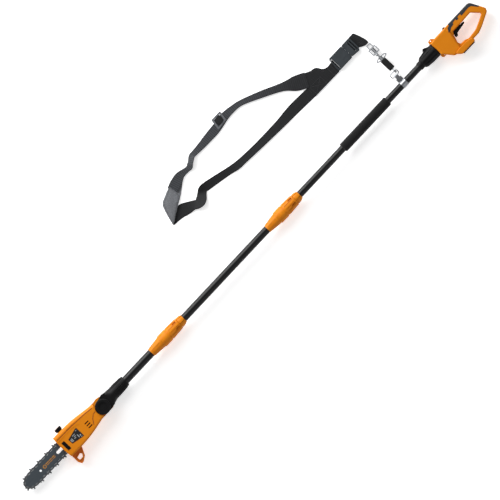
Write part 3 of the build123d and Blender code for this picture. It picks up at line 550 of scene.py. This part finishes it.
def strap_tab():
    """The tab that joins the buckle to the roller, with three rows of thread."""
    corners = [(1486, 203), (1506.8, 200), (1516, 194), (1527, 189), (1540, 188.6), (1543, 194), (1542, 206),
               (1538, 222), (1530, 246), (1526, 250.6), (1506.8, 250.6), (1486, 242)]
    tab = patch("strap_tab", corners, TAB_THICK, WEBBING, lean=70)
    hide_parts("buckle_tab")
    z = TAB_THICK + THREAD_LIFT
    rows = [[(1510, y, z), (x, y, z)] for y, x in ((206, 1538), (212, 1537), (244, 1527))]
    thread = stitches("strap_tab_stitching", rows)


def strap_slider_loop():
    """The turn of webbing over the slider's middle bar."""
    loop = [(968, 383, 3.0, 27, 0), (974, 383.5, 6.0, 27, 0), (981, 384, 9.0, 27, 0),
            (987, 384.6, 9.0, 27, 0), (993, 385.2, 6.2, 27, 0), (999, 386, 3.0, 27, 0)]
    made, length = webbing("strap_slider_loop", loop, WEBBING, across=5, count=28)


PAD_LIFT = 3.0             # the pad's underside over the floor, in mm
PAD_MIDDLE = (664, 312)
SEAM_INSET, SEAM_LIFT = 7, 10.4


def pad():
    """Shoulder pad: crowned foam in mesh cloth with a stitched rim, and a thin flange under the webbing,
    which goes into the pad through a pocket."""
    cushion = [(605, 246), (617, 290), (630, 324), (640, 333), (668, 344), (699, 355), (702, 303), (690, 295),
               (668, 284), (640, 268)]
    flange = [(684, 347), (697, 352), (722, 346), (750, 337), (730, 322), (706, 305), (690, 296), (684, 300)]
    for name, corners, thick, voxel, padded in (("shoulder_pad_cushion", cushion, 5.6, 2.6, True),
                                                ("shoulder_pad_flange", flange, 1.4, 0.8, False)):
        mesh = bmesh.new()
        face = mesh.faces.new([mesh.verts.new(at(x, y, PAD_LIFT - HALF)) for x, y in corners])
        made = bmesh.ops.extrude_face_region(mesh, geom=[face])
        tops = [v for v in made["geom"] if isinstance(v, bmesh.types.BMVert)]
        bmesh.ops.translate(mesh, verts=tops, vec=(0, 0, thick * MM))
        shell = piece(name, mesh, MESH, "grip_pole")
        remesh = shell.modifiers.new("even cloth", "REMESH")
        remesh.mode = "VOXEL"
        remesh.voxel_size = voxel * MM
        settle(shell)
        if padded:
            inflate(shell, 4.0, 2.6)
        smooth = shell.modifiers.new("soft rim", "SMOOTH")
        smooth.factor = 0.5
        smooth.iterations = 4
        settle(shell)
    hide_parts("shoulder_pad")

    rim = []
    for x, y in cushion:
        dx, dy = PAD_MIDDLE[0] - x, PAD_MIDDLE[1] - y
        reach = math.hypot(dx, dy)
        rim.append((x + dx / reach * SEAM_INSET, y + dy / reach * SEAM_INSET, SEAM_LIFT))
    thread = stitches("shoulder_pad_seam", [[*rim, rim[0]]], pitch=5.0, long=3.8, radius=0.5)


def settle(shell):
    """The modifiers' result becomes the mesh."""
    bpy.context.view_layer.update()
    seen = shell.evaluated_get(bpy.context.evaluated_depsgraph_get())
    data = bpy.data.meshes.new_from_object(seen)
    shell.modifiers.clear()
    shell.data = data
    for polygon in data.polygons:
        polygon.use_smooth = True


def inflate(shell, pressure, cap_mm, frames=20):
    """Cloth under pressure from inside; no point moves further than the cap, and the floor side stays."""
    before = [v.co.copy() for v in shell.data.vertices]
    lowest = min(v.z for v in before)
    held = shell.vertex_groups.new(name="held")
    held.add([i for i, v in enumerate(before) if v.z < lowest + 1.2 * MM], 1.0, "REPLACE")
    cloth = shell.modifiers.new("cloth", "CLOTH")
    cloth.settings.use_pressure = True
    cloth.settings.uniform_pressure_force = pressure
    cloth.settings.vertex_group_mass = "held"
    cloth.settings.effector_weights.gravity = 0
    for frame_number in range(1, frames + 1):
        bpy.context.scene.frame_set(frame_number)
    seen = shell.evaluated_get(bpy.context.evaluated_depsgraph_get())
    after = [v.co.copy() for v in seen.data.vertices]
    shell.modifiers.clear()
    for v, a, b in zip(shell.data.vertices, before, after):
        step = b - a
        if step.length > cap_mm * MM:
            step *= cap_mm * MM / step.length
        v.co = a + step
    bpy.context.scene.frame_set(1)


# ---- foam, label and marks ----------------------------------------------------------------------
STOP_GAP = 1.2             # room for the collar to stop against the foam at full travel, in mm


def foam_sleeve():
    """The foam grip: rounded ends and a skin that isn't quite even."""
    low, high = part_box("foam_grip")
    x0, x1 = (low.x - AXIS.x) / MM + STOP_GAP, (high.x - AXIS.x) / MM
    outer = (high.z - low.z) / 2 / MM
    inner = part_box("upper_tube")[1].z / MM - HALF
    profile = [(x0, inner), (x0, outer - 2.6), (x0 + 0.9, outer - 0.9), (x0 + 2.8, outer - 0.1)]
    profile += [(x0 + 2.8 + (x1 - x0 - 5.6) * i / 40, outer - 0.12 * (i % 2)) for i in range(1, 40)]
    profile += [(x1 - 2.8, outer - 0.1), (x1 - 0.9, outer - 0.9), (x1, outer - 2.6), (x1, inner)]
    made = lathe("foam_sleeve", [*profile, profile[0]], FOAM, "grip_pole")
    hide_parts("foam_grip")


def prism(mesh, corners, low, high):
    """A flat-sided solid between two heights over the pole's axis, added to a mesh."""
    face = mesh.faces.new([mesh.verts.new(at(x, y, low)) for x, y in corners])
    made = bmesh.ops.extrude_face_region(mesh, geom=[face])
    for v in made["geom"]:
        if isinstance(v, bmesh.types.BMVert):
            v.co.z += (high - low) * MM


# heights over the pole's axis, in mm
FILM_LOW, FILM_HIGH = 31.0, 31.5
GROOVE_SHADE_LOW, GROOVE_SHADE_HIGH = 30.2, 30.75
VENT_SHADE_LOW, VENT_SHADE_HIGH = 27.6, 28.6
INK = 0.15                 # thickness of printed ink, in mm
# middles of the head's two grooves, and half the width of the darker strip of painted shade in them
GROOVE_LINES = [[(-221, 30.3), (-150, 28.6), (-90, 24.0), (-56, 19.5)],
                [(-92, -26), (-79, -8), (-66, 1.5), (-55, 2.5)]]
GROOVE_HALF = 1.4


def plate(mesh, x0, x1, y0, y1, low, high):
    """A rectangular prism added to a mesh."""
    prism(mesh, [(x0, y0), (x1, y0), (x1, y1), (x0, y1)], low, high)


def head_label():
    """A black film in the head's recess, with plain grey bars that mean nothing."""
    mesh = bmesh.new()
    prism(mesh, [(-191.3, -16.4), (-142.8, -27), (-142.8, 13), (-191.3, 3.4)], FILM_LOW, FILM_HIGH)
    film = piece("head_label_film", mesh, INK_BLACK, "head", smooth=False)
    mesh = bmesh.new()
    for x0, x1, y0, y1 in ((-188, -185, -13, -2), (-183, -180, -14.5, -1), (-174, -166, -11, -8.6),
                           (-171, -163, -5.4, -3.2), (-174, -161, 0.8, 3), (-159, -156, -19, -6),
                           (-152.5, -147, -23, -21), (-152.5, -147, -17.5, -13), (-152.5, -147, 6, 8)):
        plate(mesh, x0, x1, y0, y1, FILM_HIGH, FILM_HIGH + INK)
    ink = piece("head_label_marks", mesh, INK_GREY, "head", smooth=False)


def head_painted_shade_pieces():
    """Painted shade in the head: a darker orange strip in each groove, and a black foam sheet behind the
    vents that stands in for the shade inside them.
    """
    mesh = bmesh.new()
    for line in GROOVE_LINES:
        for (x0, y0), (x1, y1) in zip(line, line[1:]):
            along = Vector((x1 - x0, y1 - y0)).normalized() * GROOVE_HALF
            prism(mesh, [(x0 - along.y, y0 + along.x), (x0 + along.y, y0 - along.x),
                         (x1 + along.y, y1 - along.x), (x1 - along.y, y1 + along.x)], GROOVE_SHADE_LOW, GROOVE_SHADE_HIGH)
    groove_shade = piece("head_groove_painted_shade", mesh, SHADE, "head", smooth=False)
    mesh = bmesh.new()
    # painted shade: a black foam sheet behind the vents stands in for the shade inside the head
    plate(mesh, -116, -92, -25, 4, VENT_SHADE_LOW, VENT_SHADE_HIGH)
    piece("head_vent_painted_shade_sheet", mesh, FOAM, "head", smooth=False)


RING_X, RING_Y = -317.5, -0.5
RING_IN, RING_OUT, RING_STEPS = 4.3, 6.6, 20


def bar_mark():
    """A printed ring and two rows of plain bars on the guide bar."""
    top = (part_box("guide_bar")[1].z - AXIS.z) / MM
    mesh = bmesh.new()
    for i in range(RING_STEPS):
        a, b = (math.radians(360 / RING_STEPS * k) for k in (i, i + 1))
        prism(mesh, [(RING_X + r * math.cos(t), RING_Y + r * math.sin(t)) for r, t in
                     ((RING_OUT, a), (RING_OUT, b), (RING_IN, b), (RING_IN, a))], top, top + INK)
    for x0, x1 in ((-309, -294), (-292, -280), (-278, -265)):
        plate(mesh, x0, x1, -4.0, -2.2, top, top + INK)
        plate(mesh, x0, x1, 1.6, 4.2, top, top + INK)
    ink = piece("bar_mark", mesh, INK_ORANGE, "head", smooth=False)


set_camera()
set_floor()
set_lights()
dress()
strap_runs()
strap_fork()
strap_tab()
strap_slider_loop()
pad()
foam_sleeve()
head_label()
head_painted_shade_pieces()
bar_mark()
